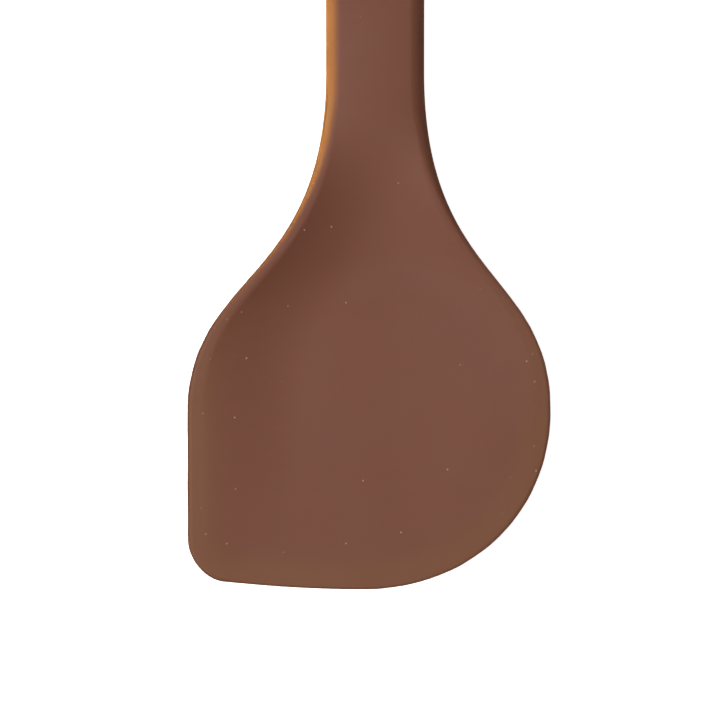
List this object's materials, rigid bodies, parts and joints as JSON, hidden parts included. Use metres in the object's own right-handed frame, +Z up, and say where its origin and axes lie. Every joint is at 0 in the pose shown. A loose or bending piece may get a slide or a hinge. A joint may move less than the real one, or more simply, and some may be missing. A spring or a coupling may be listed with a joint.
{
  "type": "silicone scraper spatula",
  "caption": "One-piece silicone scraper spatula: slim rounded handle with a hanging hole, flaring into a shallow scooped blade with one straight edge and one round edge.",
  "frame": {"origin": "on the table under the middle of the overall length and width, the spatula lying on its back", "axes": "+Y along the handle toward its hanging end, the blade's tip at -Y; +Z up, out of the scooped front; +X toward the blade's round edge"},
  "size_m": [0.06, 0.28, 0.0085],
  "materials": {
    "silicone": "satin moulded silicone, warm brown",
    "core": "matt moulded glass-filled nylon, hidden inside the silicone"
  },
  "bodies": {
    "root": {"silicone_body": "silicone", "stiffening_core": "core"}
  },
  "joints": []
}
